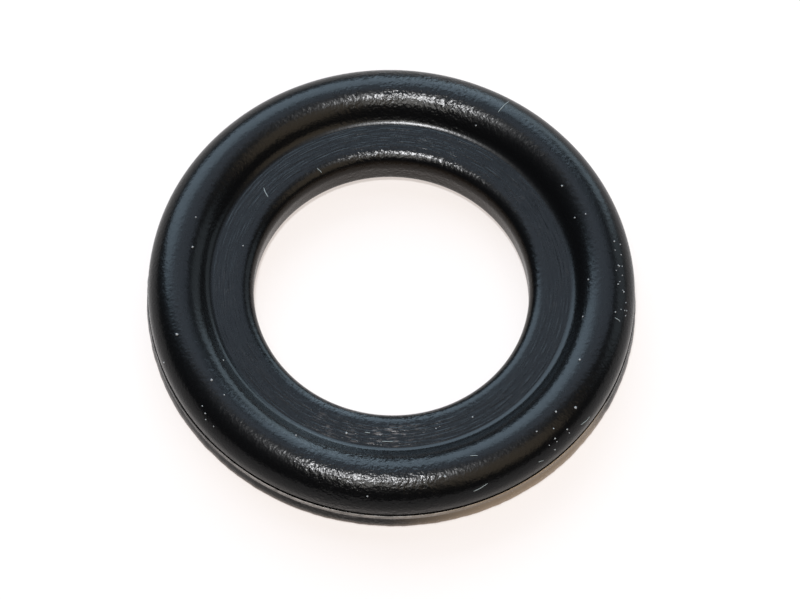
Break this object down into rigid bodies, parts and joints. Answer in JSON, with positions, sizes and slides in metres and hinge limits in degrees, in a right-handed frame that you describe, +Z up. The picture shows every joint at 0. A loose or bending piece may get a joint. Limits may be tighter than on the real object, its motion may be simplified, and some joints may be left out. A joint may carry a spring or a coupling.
{
  "type": "drain plug washer",
  "caption": "Moulded rubber washer that seals a drain plug: a flat web with a round bore, a rounded sealing bead that stands proud of it round the rim, and a flat underside.",
  "frame": {"origin": "on the axis of the bore, in the plane of the flat underside, which the washer lies on", "axes": "+Z up, along the axis of the bore, from the flat underside to the bead. The washer is turned about this axis, so X and Y are any two directions square to it"},
  "size_m": [0.0248, 0.0248, 0.0032],
  "materials": {
    "rubber": "satin, nearly black"
  },
  "bodies": {
    "root": {"washer": "rubber"}
  },
  "joints": []
}
